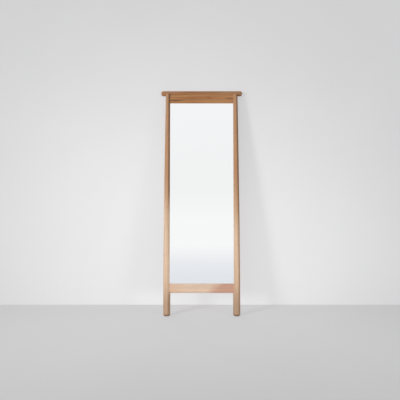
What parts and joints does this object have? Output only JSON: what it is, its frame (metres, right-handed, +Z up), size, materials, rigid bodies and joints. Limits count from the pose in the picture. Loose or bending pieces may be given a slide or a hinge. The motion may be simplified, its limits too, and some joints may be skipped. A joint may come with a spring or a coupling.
{
  "type": "leaning floor mirror",
  "caption": "Full-length mirror in a pale oak frame of turned posts and flat rails with a round bar across the top, leaning back on its feet against a wall.",
  "frame": {"origin": "on the floor, under the middle of the mirror's width and of its depth from the front of the feet to the wall", "axes": "+X to the right as seen from the front, +Y back towards the wall, +Z up from the floor; the mirror leans back at its standing angle"},
  "size_m": [0.62, 0.3143, 1.6776],
  "materials": {
    "oak": "clear matt oil on pale oak",
    "dowel_wood": "plain beech",
    "mirror": "polished, silvered on the back",
    "board": "smooth hardboard",
    "rubber": "matt",
    "steel": "zinc plated, satin"
  },
  "bodies": {
    "frame": {"left_post": "oak", "right_post": "oak", "top_bar": "oak", "header_rail": "oak", "lower_rail": "oak", "mirror_plate": "mirror", "backing_board": "board", "setting_blocks": "rubber", "left_bead": "oak", "right_bead": "oak", "top_bead": "oak", "bottom_bead": "oak", "bead_screws": "steel", "bar_dowels": "dowel_wood", "header_dowels": "dowel_wood", "left_foot_pad": "rubber", "right_foot_pad": "rubber", "foot_pad_screws": "steel", "left_wall_buffer": "rubber", "right_wall_buffer": "rubber", "left_hanger_strap": "steel", "right_hanger_strap": "steel", "hanger_screws": "steel"},
    "left_ring": {"left_hanger_ring": "steel"},
    "right_ring": {"right_hanger_ring": "steel"}
  },
  "joints": [
    {"name": "left_ring_swing", "type": "hinge", "parent": "frame", "child": "left_ring", "pos_m": [-0.18, 0.12605, 1.61964], "axis": [1, 0, 0], "range_deg": [-4, 165]},
    {"name": "right_ring_swing", "type": "hinge", "parent": "frame", "child": "right_ring", "pos_m": [0.18, 0.12605, 1.61964], "axis": [1, 0, 0], "range_deg": [-4, 165]}
  ]
}
